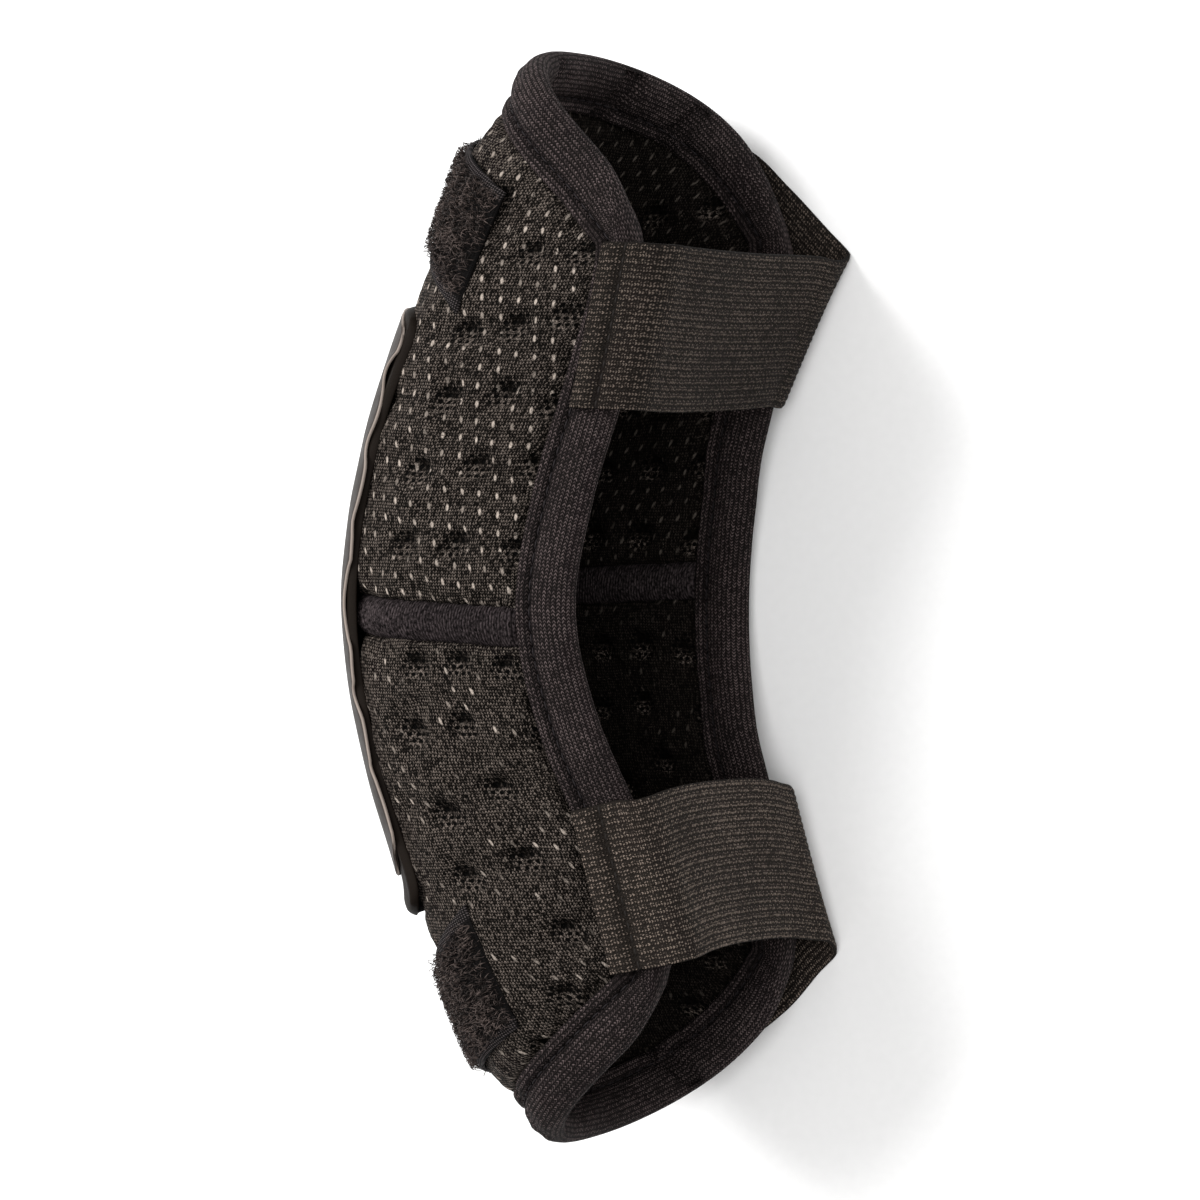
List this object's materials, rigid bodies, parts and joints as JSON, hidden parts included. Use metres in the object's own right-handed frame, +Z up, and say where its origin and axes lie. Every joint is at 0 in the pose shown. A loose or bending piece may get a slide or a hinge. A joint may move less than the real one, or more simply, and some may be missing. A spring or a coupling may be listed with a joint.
{
  "type": "elbow guard",
  "caption": "Padded elbow guard: a bent mesh-covered half sleeve with a bound edge, a hard cap on the back and elastic straps across the open front.",
  "frame": {"origin": "centre of the bounding box at its lowest plane, where the straps rest on the floor", "axes": "+Y along the arm toward the upper-arm rim; +X toward the open front; +Z up from the floor to the near wall, as the guard lies on its far side"},
  "size_m": [0.1028, 0.2556, 0.095],
  "materials": {
    "mesh_cloth": "rough",
    "rib_cloth": "rough",
    "binding_cloth": "rough",
    "cap_rubber": "matt",
    "cap_plastic": "satin",
    "loop_pile": "rough",
    "black_elastic": "rough",
    "hook_plastic": "matt"
  },
  "bodies": {
    "root": {"upper_pad": "mesh_cloth", "lower_pad": "mesh_cloth", "flex_band": "rib_cloth", "edge_binding": "binding_cloth", "cap_base": "cap_rubber", "cap_film": "cap_plastic", "upper_loop_patch": "loop_pile", "lower_loop_patch": "loop_pile", "upper_strap": "black_elastic", "lower_strap": "black_elastic", "upper_hook_tab": "hook_plastic", "lower_hook_tab": "hook_plastic"}
  },
  "joints": []
}
